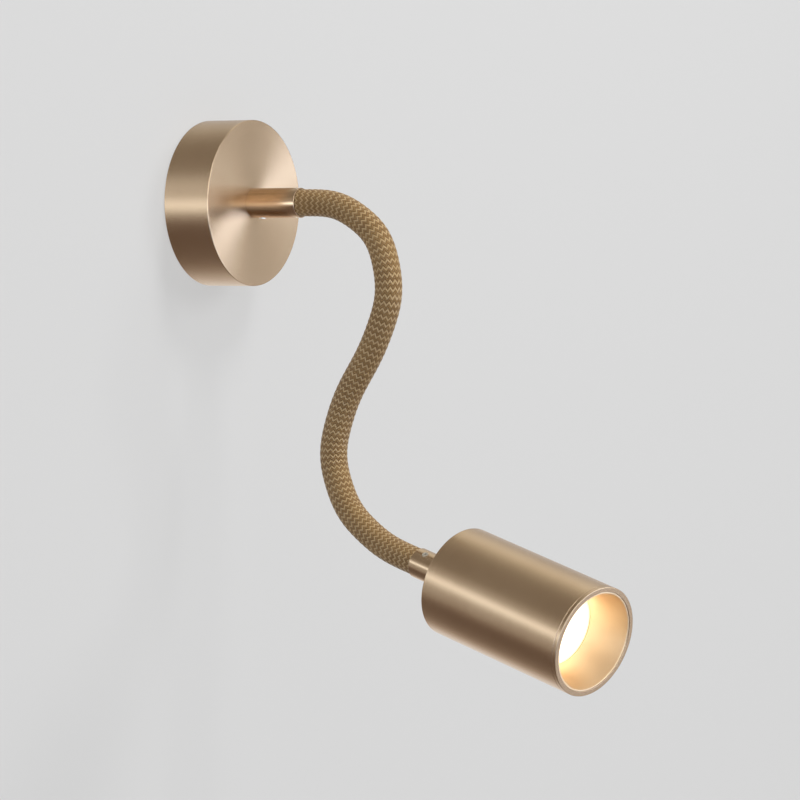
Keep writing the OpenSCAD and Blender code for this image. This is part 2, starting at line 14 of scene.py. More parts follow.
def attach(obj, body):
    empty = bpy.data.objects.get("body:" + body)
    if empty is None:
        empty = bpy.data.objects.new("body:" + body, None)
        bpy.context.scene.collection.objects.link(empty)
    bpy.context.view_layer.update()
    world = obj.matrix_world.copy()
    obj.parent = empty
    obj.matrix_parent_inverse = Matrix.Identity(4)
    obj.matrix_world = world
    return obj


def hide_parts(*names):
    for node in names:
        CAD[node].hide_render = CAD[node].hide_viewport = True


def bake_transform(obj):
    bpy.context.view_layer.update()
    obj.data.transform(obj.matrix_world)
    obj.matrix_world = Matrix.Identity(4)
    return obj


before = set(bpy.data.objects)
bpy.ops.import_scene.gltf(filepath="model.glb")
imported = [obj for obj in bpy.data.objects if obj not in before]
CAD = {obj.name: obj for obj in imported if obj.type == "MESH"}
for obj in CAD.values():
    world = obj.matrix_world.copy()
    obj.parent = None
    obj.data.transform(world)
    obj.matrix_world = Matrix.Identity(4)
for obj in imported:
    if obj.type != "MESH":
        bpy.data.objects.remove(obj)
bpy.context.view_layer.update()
MM = 0.001

# Sizes shared with the solids, in millimetres
ROSE_R, ROSE_DEPTH, ROSE_WALL, ROSE_EDGE = 40.0, 25.0, 1.6, 0.5
COVER_SCREW_Z, COVER_HOLE_R = 8.5, 2.2
FERRULE_R, FERRULE_LEN, FERRULE_EDGE = 7.2, 27.0, 0.3
SEAT_R, GRIP_R, GRIP_DEPTH = 5.0, 6.65, 3.0
GRUB_R, WALL_GRUB_AT, HEAD_GRUB_AT, HEAD_GRUB_TURN = 1.55, 4.5, 6.0, 39.0
THREAD_HOLE_R = 5.2
LINK_PITCH, STUB, BALL_RUN, CUP_RUN = 28.0, 8.0, 3.0, 5.0
BEND = np.radians([32, 43, 37, 12, -18, -40, -32, -18])
LEAN = np.radians([-5, -2, 0, -1, -1, -1, -2, -3])
SLEEVE_R, SLEEVE_IN_R, CABLE_R = 6.55, 5.5, 2.45
ROSE_STACK, HEAD_STACK, SHEATH_PAST = 6.9, 7.7, 1.5
HEAD_R, HEAD_IN_R, HEAD_LEN, HEAD_BACK_T, HEAD_EDGE = 26.0, 24.5, 83.5, 2.0, 0.4
RING_BAND, RING_GROOVE, RING_COLLAR = 2.0, 0.3, 8.0
COLLAR_R, COLLAR_IN_R = 24.4, 23.65
REFLECTOR_R, REFLECTOR_BACK_R, REFLECTOR_T, REFLECTOR_DEPTH = 23.6, 16.8, 0.7, 18.0
REFLECTOR_INSET, REFLECTOR_RIM = 0.3, 1.6
LAMP_GAP = 0.6
LAMP_FRONT = HEAD_LEN - REFLECTOR_DEPTH - LAMP_GAP
LENS_R, LENS_T, LENS_INSET = 16.2, 1.2, 0.3

# Sizes that only the dressed pieces have, in millimetres
DOME_R, DOME_RISE, DOME_EDGE, LENS_EDGE = 17.2, 0.5, 0.1, 0.02
FILED, TRIMMED, EASED = 0.1, 0.15, 0.2
ROSE_CORNER, HEAD_CORNER, GRIP_EDGE = 0.6, 0.3, 0.08
COVER_HOLE_LEN, GRUB_HOLE_LEN = 8.0, 7.0
SHARP_ANGLE = math.radians(34)


# Route of the arm

def about_x(a):
    """Rotation matrices by a about x, for any array of angles."""
    a = np.asarray(a, float)
    one, zero, c, s = np.ones_like(a), np.zeros_like(a), np.cos(a), np.sin(a)
    return np.stack([one, zero, zero, zero, c, -s, zero, s, c], -1).reshape(a.shape + (3, 3))


def about_z(a):
    """Rotation matrix by a about z."""
    return np.array([[math.cos(a), -math.sin(a), 0], [math.sin(a), math.cos(a), 0], [0, 0, 1]])


def link_shape(i, run):
    """Points and frames along link i, at the lengths run from its first joint.

    The link is straight for the ball's run, turns along an arc of radius (arc length / bend), and is
    straight again. In the arc's own plane y = -r(1 - cos a) and z = r sin a, and the plane is turned by
    the roll.
    """
    bend, roll = math.hypot(BEND[i], LEAN[i]), math.atan2(LEAN[i], BEND[i])
    arc = LINK_PITCH - BALL_RUN - CUP_RUN
    a = np.clip((run - BALL_RUN) / arc, 0, 1) * bend
    r = arc / bend
    y, z = -r * (1 - np.cos(a)), r * np.sin(a) + np.minimum(run, BALL_RUN)
    past = np.maximum(run - BALL_RUN - arc, 0)
    y, z = y - past * np.sin(a), z + past * np.cos(a)
    points = np.stack([np.zeros_like(y), y, z], -1) @ about_z(roll).T
    return points, about_z(roll) @ about_x(a) @ about_z(-roll)


WALL_TURN = about_x(math.pi / 2)
JOINTS = [(np.array([0, -(ROSE_DEPTH + FERRULE_LEN + STUB), 0]), WALL_TURN)]
for link in range(len(BEND)):
    at, turn = JOINTS[-1]
    step, swing = link_shape(link, np.array([LINK_PITCH]))
    JOINTS.append((at + turn @ step[0], turn @ swing[0]))
HEAD_AT = JOINTS[-1][0] + JOINTS[-1][1] @ np.array([0, 0, STUB + FERRULE_LEN])
HEAD_TURN = JOINTS[-1][1]
HEAD_AXIS = HEAD_TURN[:, 2]
ARM_LEN = len(BEND) * LINK_PITCH


def along_arm(s):
    """Centre points and frames at the lengths s from the first joint, straight on past both end joints."""
    s = np.asarray(s, float)
    points, turns = np.zeros(s.shape + (3,)), np.zeros(s.shape + (3, 3))
    for i, (at, turn) in enumerate(JOINTS):
        last = i == len(JOINTS) - 1
        here = (s >= i * LINK_PITCH) if last else (s >= i * LINK_PITCH) & (s < (i + 1) * LINK_PITCH)
        if i == 0:
            here = s < LINK_PITCH
        run = s[here] - i * LINK_PITCH
        if last:
            local, swing = np.outer(run, [0, 0, 1]), np.broadcast_to(np.eye(3), run.shape + (3, 3))
        else:
            local, swing = link_shape(i, run)
        points[here], turns[here] = at + local @ turn.T, turn @ swing
    return points, turns


def smoothed_arm(s, reach=13.0, steps=15):
    """The arm's route averaged over a reach either side, as a soft sleeve lies on it: weights 1 + cos."""
    near = np.linspace(-1, 1, steps + 2)[1:-1]
    weights = 1 + np.cos(math.pi * near)
    weights /= weights.sum()
    samples = [along_arm(np.asarray(s) + reach * k) for k in near]
    points = sum(w * p for w, (p, _) in zip(weights, samples))
    turns = sum(w * t for w, (_, t) in zip(weights, samples))
    along = turns[..., 2] / np.linalg.norm(turns[..., 2], axis=-1, keepdims=True)
    across = turns[..., 0] - along * np.sum(along * turns[..., 0], -1, keepdims=True)
    across /= np.linalg.norm(across, axis=-1, keepdims=True)
    return points, np.stack([across, np.cross(along, across), along], -1)


# Surfaces

def surface(name, grid, material, closed=True, u=None, v=None):
    """A mesh on a grid of points, in millimetres, whose columns close on themselves.

    The rows close too, or else end in poles. Face (i, j) joins the points (i, j), (i, j + 1),
    (i + 1, j + 1) and (i + 1, j), turned round where the enclosed volume comes out negative. u and v give
    the UV map by column and by row.
    """
    rows, cols = grid.shape[:2]
    i = np.arange(rows if closed else rows - 1)[:, None]
    j = np.arange(cols)[None, :]
    i, j = np.broadcast_arrays(i, j)
    ring, col = np.stack([i, i, i + 1, i + 1], -1), np.stack([j, j + 1, j + 1, j], -1)
    faces = ((ring % rows) * cols + col % cols).reshape(-1, 4)
    ring, col = ring.reshape(-1, 4), col.reshape(-1, 4)
    points = grid.reshape(-1, 3) * MM
    p = points[faces]
    volume = (np.einsum("ij,ij->i", p[:, 0], np.cross(p[:, 1], p[:, 2])).sum()
              + np.einsum("ij,ij->i", p[:, 0], np.cross(p[:, 2], p[:, 3])).sum())
    if volume < 0:
        faces, ring, col = faces[:, ::-1], ring[:, ::-1], col[:, ::-1]
    mesh = bpy.data.meshes.new(name)
    mesh.from_pydata(points.tolist(), [], faces.tolist())
    if v is not None:
        layer = mesh.uv_layers.new(name="route")
        at = np.stack([np.append(u, 1.0)[col], np.append(v, v[0])[ring]], -1)
        layer.data.foreach_set("uv", at.astype(np.float32).ravel())
    piece = bpy.data.objects.new(name, mesh)
    bpy.context.scene.collection.objects.link(piece)
    if not closed:
        close_poles(mesh)
    finish_surface(piece, material)
    return piece


def close_poles(mesh):
    """Merges the points that lie together at a pole."""
    work = bmesh.new()
    work.from_mesh(mesh)
    bmesh.ops.remove_doubles(work, verts=work.verts, dist=1e-7)
    work.to_mesh(mesh)
    work.free()


def finish_surface(piece, material):
    """Smooth shading, broken where two faces meet at more than the sharp angle."""
    piece.data.materials.append(material)
    piece.data.shade_smooth()
    piece.data.set_sharp_from_angle(angle=SHARP_ANGLE)


def rounded(corners, steps=6, guard=0.04):
    """A closed outline (radius, height) whose corners (r, z, f) are rounded by f.

    The arc meets each side f / tan(half the inner angle) from the corner, and its centre lies
    f / sin(half the inner angle) away along the bisector. One more point stands a guard's length past
    each end of the arc, so the flat sides stay flat in the shading.
    """
    out = []
    spots = np.array([c[:2] for c in corners], float)
    for k, (r, z, f) in enumerate(corners):
        p = spots[k]
        a, b = spots[k - 1] - p, spots[(k + 1) % len(spots)] - p
        room = min(np.linalg.norm(a), np.linalg.norm(b))
        a, b = a / np.linalg.norm(a), b / np.linalg.norm(b)
        near = min(guard, room / 4)
        if f == 0:
            out += [p + a * near, p, p + b * near]
            continue
        half = math.acos(np.clip(a @ b, -1, 1)) / 2
        reach = f / math.tan(half)
        centre = p + (a + b) / np.linalg.norm(a + b) * f / math.sin(half)
        start, end = p + a * reach - centre, p + b * reach - centre
        sweep = math.acos(np.clip(start @ end / f ** 2, -1, 1))
        t = np.linspace(0, 1, steps + 1)[:, None]
        arc = centre + (np.sin((1 - t) * sweep) * start + np.sin(t * sweep) * end) / math.sin(sweep)
        out += [p + a * (reach + near), *arc, p + b * (reach + near)]
    return np.array(out)


def turned(name, outline, at, turn, material, columns=256, closed=True):
    """A lathe shape: each outline point (r, z) is carried round as (r cos a, r sin a, z) and put in place."""
    a = np.linspace(0, 2 * math.pi, columns, endpoint=False)
    r, z = outline[:, :1], outline[:, 1:]
    grid = np.stack([r * np.cos(a), r * np.sin(a), np.broadcast_to(z, (len(r), columns))], -1)
    return surface(name, at + grid @ turn.T, material, closed)


def drill(piece, holes):
    """Cuts round holes, each given by a point on its axis, its direction, radius and length."""
    for at, way, radius, length in holes:
        work = bmesh.new()
        bmesh.ops.create_cone(work, cap_ends=True, segments=48, radius1=radius * MM, radius2=radius * MM,
                              depth=length * MM)
        cutter = bpy.data.objects.new("cutter", bpy.data.meshes.new("cutter"))
        work.to_mesh(cutter.data)
        work.free()
        lean = Vector(way).to_track_quat("Z", "Y").to_matrix().to_4x4()
        cutter.data.transform(Matrix.Translation(Vector(at) * MM) @ lean)
        bpy.context.scene.collection.objects.link(cutter)
        cut = piece.modifiers.new("hole", "BOOLEAN")
        cut.operation, cut.solver, cut.object = "DIFFERENCE", "EXACT", cutter
        bpy.context.view_layer.update()
        result = piece.evaluated_get(bpy.context.evaluated_depsgraph_get())
        mesh = bpy.data.meshes.new_from_object(result)
        piece.modifiers.clear()
        piece.data = mesh
        bpy.data.objects.remove(cutter)
    piece.data.set_sharp_from_angle(angle=SHARP_ANGLE)


# Shader maths

def srgb(*levels):
    """Linear colour from 0 to 255 levels."""
    c = np.array(levels, float) / 255
    return (*np.where(c <= 0.04045, c / 12.92, ((c + 0.055) / 1.055) ** 2.4), 1.0)


class Wire:
    """One output socket; arithmetic on it adds Math nodes."""

    def __init__(self, shader, socket):
        self.shader, self.socket = shader, socket

    def math(self, operation, other=None, swap=False):
        """A Math node on this wire and perhaps another, which comes first if swapped."""
        values = [self] if other is None else ([other, self] if swap else [self, other])
        return self.shader.node("ShaderNodeMath", {"operation": operation}, dict(enumerate(values)))

    def __add__(self, other):
        return self.math("ADD", other)

    __radd__ = __add__

    def __sub__(self, other):
        return self.math("SUBTRACT", other)

    def __rsub__(self, other):
        return self.math("SUBTRACT", other, True)

    def __mul__(self, other):
        return self.math("MULTIPLY", other)

    __rmul__ = __mul__

    def __truediv__(self, other):
        return self.math("DIVIDE", other)

    def __rtruediv__(self, other):
        return self.math("DIVIDE", other, True)

    def __pow__(self, other):
        return self.math("POWER", other)

    def __neg__(self):
        return self * -1.0


class Shading:
    """A node tree under construction."""

    def __init__(self, tree, output):
        self.tree = tree
        tree.nodes.clear()
        self.output = tree.nodes.new(output)

    def show(self, shader):
        """Joins the finished shader to the output."""
        self.tree.links.new(shader.socket, self.output.inputs["Surface"])

    def node(self, kind, settings=None, inputs=None, out=0):
        """Adds a node, sets its settings, then its input sockets from values or wires."""
        made = self.tree.nodes.new(kind)
        for key, value in (settings or {}).items():
            if key == "stops":
                ramp = made.color_ramp
                while len(ramp.elements) < len(value):
                    ramp.elements.new(1.0)
                for element, (position, colour) in zip(ramp.elements, value):
                    element.position, element.color = position, colour
            else:
                setattr(made, key, value)
        for key, value in (inputs or {}).items():
            if isinstance(value, Wire):
                self.tree.links.new(value.socket, made.inputs[key])
            else:
                made.inputs[key].default_value = value
        return Wire(self, made.outputs[out])

    def outputs(self, kind, *names):
        """Adds a node without inputs and gives the named outputs."""
        made = self.tree.nodes.new(kind)
        return [Wire(self, made.outputs[name]) for name in names]

    def vector(self, operation, *values, out=0):
        """A Vector Math node; its output 1 is a plain number."""
        return self.node("ShaderNodeVectorMath", {"operation": operation}, dict(enumerate(values)), out)

    def scaled(self, vector, factor):
        """The vector times a number."""
        return self.node("ShaderNodeVectorMath", {"operation": "SCALE"}, {0: vector, "Scale": factor})

    def split(self, vector):
        """The three components of a vector."""
        made = self.node("ShaderNodeSeparateXYZ", None, {0: vector}).socket.node
        return [Wire(self, made.outputs[k]) for k in range(3)]

    def step(self, value, low, high):
        """0 below low, 1 above high, smooth in between."""
        return self.node("ShaderNodeMapRange", {"interpolation_type": "SMOOTHSTEP"},
                         {"Value": value, "From Min": low, "From Max": high})

    def bell(self, value, spread):
        """exp(-(value / spread) squared): 1 where the value is 0, and near 0 past twice the spread."""
        return (-((value / spread) ** 2.0)).math("EXPONENT")

    def blend(self, share, a, b):
        """Colour a where share is 0, b where it is 1."""
        return self.node("ShaderNodeMix", {"data_type": "RGBA"}, {0: share, 6: a, 7: b}, 2)

    def mix(self, share, a, b):
        """Shader a where share is 0, b where it is 1."""
        return self.node("ShaderNodeMixShader", None, {0: share, 1: a, 2: b})

    def noise(self, vector, scale, detail=2.0, rough=0.5):
        """Soft noise from 0 to 1 in space."""
        return self.node("ShaderNodeTexNoise", None,
                         {"Vector": vector, "Scale": scale, "Detail": detail, "Roughness": rough})

    def line_noise(self, value, scale, detail=2.0, rough=0.5):
        """Soft noise from 0 to 1 along one number."""
        return self.node("ShaderNodeTexNoise", {"noise_dimensions": "1D"},
                         {"W": value, "Scale": scale, "Detail": detail, "Roughness": rough})

    def bump(self, height):
        """The normal of a surface raised by the height, in metres."""
        return self.node("ShaderNodeBump", None, {"Height": height, "Strength": 1.0, "Distance": 1.0})


class Finish(Shading):
    """A material of the light."""

    def __init__(self, name):
        self.material = bpy.data.materials.new(name)
        self.material.use_nodes = True
        super().__init__(self.material.node_tree, "ShaderNodeOutputMaterial")

    def place(self):
        """The point's place in the light, in metres."""
        return self.outputs("ShaderNodeTexCoord", "Object")[0]

    def surface(self, **inputs):
        """The shader itself; the names are its sockets with _ for a space."""
        self.show(self.node("ShaderNodeBsdfPrincipled", None,
                            {k.replace("_", " "): v for k, v in inputs.items()}))
        return self.material


# Finishes of the pieces. Noise scales count features per metre, and bump heights are in metres.

GROOVES_PER_METRE = 36000.0


def from_axis(finish, at, way):
    """The point's place from an axis, its distance from it and its length along it.

    The axis runs through the point at (millimetres) in the direction way.
    """
    p = finish.vector("SUBTRACT", finish.place(), tuple(np.array(at) * MM))
    away = finish.vector("LENGTH", finish.vector("CROSS_PRODUCT", p, tuple(way)), out=1)
    return p, away, finish.vector("DOT_PRODUCT", p, tuple(way), out=1)


def brushed_normals(finish, p, way, line, spread, tilts=(0.0,)):
    """Normals of a surface brushed round an axis, one for each mean tilt of its grooves' flanks.

    The grooves are finer than the eye can part, so each tilts the normal across the groove only:
    normal + (normal x direction round the axis) x (mean tilt + (noise of the line number - 0.5) x spread).
    """
    normal = finish.outputs("ShaderNodeNewGeometry", "Normal")[0]
    round_way = finish.node(
        "ShaderNodeVectorTransform",
        {"vector_type": "VECTOR", "convert_from": "OBJECT", "convert_to": "WORLD"},
        {0: finish.vector("CROSS_PRODUCT", tuple(way), p)})
    across = finish.vector("CROSS_PRODUCT", normal, finish.vector("NORMALIZE", round_way))
    jitter = (finish.line_noise(line, GROOVES_PER_METRE, 1.0) - 0.5) * spread
    return [finish.vector("NORMALIZE", finish.vector("ADD", normal, finish.scaled(across, jitter + tilt)))
            for tilt in tilts]


BRONZE, BRONZE_DEEP = (0.575, 0.415, 0.27, 1), (0.55, 0.392, 0.252, 1)


def turned_bronze(name, at, way, roughness, spread, flank=0.0):
    """Satin bronze brushed round its axis; broad noise shifts its colour and roughness a little.

    The grooves are counted by distance from the axis - length along it, a number that keeps growing over
    the face and the side. With a flank tilt the light comes half from the grooves' floors and half from
    their two flanks, which widens the shine across the grooves without any grain.
    """
    f = Finish(name)
    p, away, length = from_axis(f, at, way)
    line = away - length
    cloud = f.noise(f.place(), 38.0, 3.0)
    broad = f.line_noise(line, 700.0, 2.0)
    shade = f.step(cloud * 0.8 + broad * 0.2, 0.35, 0.65)
    tilts = (0.0, -flank, flank) if flank else (0.0,)
    lobes = [f.node("ShaderNodeBsdfPrincipled", None, {
        "Base Color": f.blend(shade, BRONZE_DEEP, BRONZE), "Metallic": 1.0,
        "Roughness": (cloud + broad) * 0.03 + (roughness - 0.03), "Normal": normal})
        for normal in brushed_normals(f, p, way, line, spread, tilts)]
    f.show(f.mix(0.5, lobes[0], f.mix(0.5, lobes[1], lobes[2])) if flank else lobes[0])
    return f.material


WALL_AXIS = (0, -1, 0)
rose_bronze = turned_bronze("rose bronze", (0, 0, 0), WALL_AXIS, 0.25, 0.04, 0.27)
ferrule_bronze = turned_bronze("wall ferrule bronze", (0, 0, 0), WALL_AXIS, 0.2, 0.03)
head_ferrule_bronze = turned_bronze("head ferrule bronze", HEAD_AT, HEAD_AXIS, 0.2, 0.03)
head_bronze = turned_bronze("head bronze", HEAD_AT, HEAD_AXIS, 0.25, 0.02)


def reflector_bronze():
    """Spun satin bronze inside the mouth, warmer, lighter and more matt than the outside."""
    f = Finish("reflector bronze")
    p, _, length = from_axis(f, HEAD_AT, HEAD_AXIS)
    cloud = f.noise(f.place(), 60.0)
    colour = f.blend(f.step(cloud, 0.3, 0.7), (0.80, 0.61, 0.39, 1), (0.84, 0.65, 0.43, 1))
    return f.surface(Base_Color=colour, Metallic=1.0, Roughness=cloud * 0.04 + 0.42,
                     Normal=brushed_normals(f, p, HEAD_AXIS, length, 0.04)[0])


# Braid: zigzags round the sleeve and yarns in a row, then in millimetres the pitch of the rows, half a
# zigzag's height and a ridge's height
STITCHES, YARNS = 16, 2
ROW, ZIGZAG, RIDGE = 3.1, 0.77, 0.05
# The UV map's v is the length along the arm, counted from a start before its first joint, over a span
ROUTE_START, ROUTE_SPAN = -60.0, 360.0
ROWS_BEFORE = 200.0


def zigzag(x):
    """A triangle wave from -1 to 1, with period 1."""
    return np.abs(x - np.floor(x) - 0.5) * 4 - 1


def braid_relief(turn, s):
    """Height of the braid's ridges: a cosine ridge per light yarn, whose row zigzags round the sleeve."""
    row = (s + ZIGZAG * zigzag(turn * STITCHES)) / ROW
    return RIDGE * np.cos(2 * math.pi * row)


def braid_textile():
    """Herringbone braid from the piece's own route map (turn, length).

    The row number is (length + half height x triangle wave of the turn) / pitch. Each row holds two yarns,
    one of them lighter and glossier; its lighter colour is kept to its crown, which paints a highlight there.
    A yarn's height is a rounded ridge, painted shade darkens its colour in the hollow beside it, and fine
    fibres run along it.
    """
    f = Finish("braided textile")
    turn, length, _ = f.split(f.outputs("ShaderNodeTexCoord", "UV")[0])
    turn, length = turn * float(STITCHES), length * ROUTE_SPAN
    wave = (turn.math("FRACT") - 0.5).math("ABSOLUTE") * 4.0 - 1.0
    row = (length + wave * ZIGZAG) / ROW + ROWS_BEFORE
    yarn = (row * float(YARNS) + 0.5).math("FRACT") * 2.0 - 1.0
    crown = 1.0 - yarn * yarn
    light_yarn = f.step((row.math("FRACT") - 0.5).math("ABSOLUTE"), 0.24, 0.28)
    kink = f.step(wave.math("ABSOLUTE"), 0.6, 1.0)
    along = f.node("ShaderNodeCombineXYZ", None, {0: turn * 5.0, 1: row * 30.0, 2: 0.0})
    fibres = f.noise(along, 1.0, 3.0, 0.6)
    patch = f.noise(f.place(), 150.0, 3.0)
    colour = f.blend(f.step(patch, 0.3, 0.7), srgb(132, 99, 56), srgb(148, 115, 69))
    # The light yarn's own lighter colour, kept to its crown: partly the yarn's real colour, partly a painted
    # highlight
    colour = f.blend(light_yarn * f.step(crown, 0.2, 0.9), colour, srgb(190, 159, 112))
    # Painted shade: a darker colour in the hollow between the yarns
    colour = f.blend(f.step(crown, 0.7, 0.0) * 0.7, colour, srgb(109, 82, 48))
    colour = f.blend(fibres * 0.25, colour, srgb(114, 86, 50))
    height = crown.math("POWER", 0.6) * 0.00016 + light_yarn * 0.00006 - kink * 0.00003 + fibres * 0.00003
    return f.surface(Base_Color=colour, Roughness=0.64 - light_yarn * 0.26 + fibres * 0.08,
                     Specular_IOR_Level=0.6, Sheen_Weight=0.08, Sheen_Roughness=0.45,
                     Sheen_Tint=(1.0, 0.88, 0.68, 1), Normal=f.bump(height))


SCRATCH, SCRATCH_STRETCH = 0.000002, (1, 1, 14)


def plain_metal(name, colour, deep, roughness, scale):
    """Metal with fine level scratches and cloudy changes of colour and roughness."""
    f = Finish(name)
    place = f.place()
    cloud = f.noise(place, scale, 4.0, 0.6)
    lines = f.noise(f.vector("MULTIPLY", place, SCRATCH_STRETCH), 900.0, 3.0, 0.6)
    return f.surface(Base_Color=f.blend(f.step(cloud, 0.3, 0.7), deep, colour), Metallic=1.0,
                     Roughness=cloud * 0.14 + (roughness - 0.07), Normal=f.bump(lines * SCRATCH))


def moulded(name, colour, deep, roughness, grain=0.00001, scale=2400.0, coat=0.0):
    """Moulded or glazed material: fine grain in the surface and a slight cloud in the colour."""
    f = Finish(name)
    place = f.place()
    cloud = f.noise(place, 90.0, 3.0)
    skin = f.noise(place, scale, 2.0)
    return f.surface(Base_Color=f.blend(f.step(cloud, 0.3, 0.7), deep, colour),
                     Roughness=cloud * 0.1 + (roughness - 0.05), Coat_Weight=coat, Coat_Roughness=0.08,
                     Normal=f.bump(skin * grain))


# Distances from the lens's middle, in metres, up to which it is bright and past which it is dim
BRIGHT_R, DIM_R = 0.012, 0.0167


def lit_lens():
    """Frosted lens with the lamp on behind it: fine concentric rings, warm white and dimmer at the rim."""
    f = Finish("lit lens")
    _, away, _ = from_axis(f, HEAD_AT, HEAD_AXIS)
    rings = (away * 9000.0).math("SINE")
    glow = f.blend(f.step(away, BRIGHT_R, DIM_R), (1.0, 0.86, 0.64, 1), (0.7, 0.48, 0.25, 1))
    return f.surface(Base_Color=(1.0, 0.93, 0.8, 1), Roughness=0.35, Emission_Color=glow,
                     Emission_Strength=2.5, Normal=f.bump(rings * 0.00002))


textile = braid_textile()
reflector_skin = reflector_bronze()
lens_skin = lit_lens()
zinc = plain_metal("zinc plate", (0.62, 0.64, 0.66, 1), (0.50, 0.52, 0.54, 1), 0.36, 140.0)
core_steel = plain_metal("arm core steel", (0.56, 0.56, 0.57, 1), (0.44, 0.44, 0.45, 1), 0.34, 220.0)
screw_steel = plain_metal("nickel screw", (0.78, 0.74, 0.68, 1), (0.68, 0.64, 0.58, 1), 0.38, 500.0)
pin_steel = plain_metal("lamp pin steel", (0.74, 0.74, 0.74, 1), (0.62, 0.62, 0.62, 1), 0.25, 500.0)
brass = plain_metal("yellow brass", (0.80, 0.62, 0.30, 1), (0.68, 0.50, 0.22, 1), 0.30, 260.0)
nylon = moulded("terminal nylon", srgb(236, 234, 224), srgb(222, 219, 206), 0.48)
porcelain = moulded("lamp porcelain", srgb(240, 237, 228), srgb(230, 225, 213), 0.30, 0.000004, 900.0, 0.4)
sheath = moulded("cable sheath", srgb(26, 26, 27), srgb(20, 20, 21), 0.5)
lead_brown = moulded("brown lead", srgb(106, 58, 32), srgb(92, 48, 26), 0.42)
lead_blue = moulded("blue lead", srgb(40, 84, 170), srgb(34, 72, 150), 0.42)


def two_tone_lead():
    """Earth lead: green with yellow stripes along it."""
    f = Finish("green and yellow lead")
    across, _, _ = f.split(f.place())
    stripe = f.step((across * 900.0).math("SINE"), -0.1, 0.1)
    return f.surface(Base_Color=f.blend(stripe, srgb(60, 130, 50), srgb(222, 200, 40)), Roughness=0.42,
                     Normal=f.bump(f.noise(f.place(), 2400.0) * 0.00001))


lead_green = two_tone_lead()

# Turned pieces that stand for the plain solids. A corner is (radius, height, rounding).
wall_place = (np.zeros(3), WALL_TURN)
head_place = (HEAD_AT, HEAD_TURN)

rose = turned("rose_shell", rounded([
    (THREAD_HOLE_R, ROSE_DEPTH - ROSE_WALL, 0), (ROSE_R - ROSE_WALL, ROSE_DEPTH - ROSE_WALL, ROSE_CORNER),
    (ROSE_R - ROSE_WALL, 0, TRIMMED), (ROSE_R, 0, EASED), (ROSE_R, ROSE_DEPTH, ROSE_EDGE),
    (THREAD_HOLE_R, ROSE_DEPTH, 0)]), *wall_place, rose_bronze)
drill(rose, [((0, -COVER_SCREW_Z, side * ROSE_R), (0, 0, side), COVER_HOLE_R, COVER_HOLE_LEN)
             for side in (-1, 1)])
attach(rose, "mount")
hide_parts("rose_cover")


def ferrule(name, at, turn, material, grub_at, grub_turn):
    """A turned sleeve with a round edged mouth, drilled for its locking screw."""
    outline = rounded([
        (SEAT_R, 0, 0), (FERRULE_R, 0, FILED), (FERRULE_R, FERRULE_LEN, FERRULE_EDGE),
        (GRIP_R, FERRULE_LEN, GRIP_EDGE), (GRIP_R, FERRULE_LEN - GRIP_DEPTH, 0),
        (SEAT_R, FERRULE_LEN - GRIP_DEPTH, 0)])
    piece = turned(name, outline, at, turn, material, 128)
    way = turn @ np.array([math.sin(grub_turn), -math.cos(grub_turn), 0])
    middle = at + turn @ np.array([0, 0, grub_at]) + way * FERRULE_R
    drill(piece, [(middle, way, GRUB_R, GRUB_HOLE_LEN)])
    return piece


wall_ferrule = ferrule("wall_ferrule_turned", np.array([0, -ROSE_DEPTH, 0]), WALL_TURN, ferrule_bronze,
                       WALL_GRUB_AT, 0.0)
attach(wall_ferrule, "mount")
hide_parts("wall_ferrule")
head_seat = HEAD_TURN @ about_x(math.pi)
head_ferrule = ferrule("head_ferrule_turned", HEAD_AT, head_seat, head_ferrule_bronze,
                       FERRULE_LEN - HEAD_GRUB_AT, -math.radians(HEAD_GRUB_TURN))
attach(head_ferrule, "head")
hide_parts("head_ferrule")

tube_len = HEAD_LEN - RING_BAND
housing = turned("housing_tube", rounded([
    (THREAD_HOLE_R, 0, 0), (HEAD_R, 0, HEAD_EDGE), (HEAD_R, tube_len, RING_GROOVE),
    (HEAD_IN_R, tube_len, 0), (HEAD_IN_R, HEAD_BACK_T, HEAD_CORNER), (THREAD_HOLE_R, HEAD_BACK_T, 0)]),
    *head_place, head_bronze)
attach(housing, "head")
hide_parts("lamp_housing")

ring = turned("front_ring_turned", rounded([
    (COLLAR_IN_R, tube_len - RING_COLLAR, FILED), (COLLAR_R, tube_len - RING_COLLAR, FILED),
    (COLLAR_R, tube_len, 0), (HEAD_R, tube_len, RING_GROOVE), (HEAD_R, HEAD_LEN, RING_GROOVE),
    (COLLAR_IN_R, HEAD_LEN, TRIMMED)]), *head_place, head_bronze)
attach(ring, "front_ring")
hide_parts("front_ring")

back_z, front_z = HEAD_LEN - REFLECTOR_DEPTH, HEAD_LEN - REFLECTOR_INSET
cone = turned("reflector_spun", rounded([
    (REFLECTOR_BACK_R, back_z, FILED), (REFLECTOR_BACK_R + REFLECTOR_T, back_z, FILED),
    (REFLECTOR_R, front_z - REFLECTOR_RIM, 0), (REFLECTOR_R, front_z, FILED),
    (REFLECTOR_R - REFLECTOR_T, front_z, EASED)]), *head_place, reflector_skin)
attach(cone, "front_ring")
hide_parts("reflector")

# The lens is a disc under a shallow dome: height = edge + rise x (1 - (radius / edge's radius) squared)
dome_r = np.linspace(0, DOME_R, 24)
dome = np.stack([dome_r, LAMP_FRONT + DOME_EDGE + DOME_RISE * (1 - (dome_r / DOME_R) ** 2)], -1)
lens_top, lens_back = LAMP_FRONT + LENS_EDGE, LAMP_FRONT - LENS_INSET - LENS_T
lens = turned("lens_face", np.concatenate([
    dome, [[DOME_R, lens_top], [LENS_R, lens_top], [LENS_R, lens_back], [0, lens_back]]]),
    *head_place, lens_skin, 96, closed=False)
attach(lens, "head")
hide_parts("lamp_lens")

# Sleeve and cable, one length across each joint
STITCH_COLUMNS, BRAID_STEP, LINING_ROWS, SLEEVE_EASE = 8, 0.26, 12, 0.1
CABLE_ROWS, CABLE_COLUMNS = 40, 24


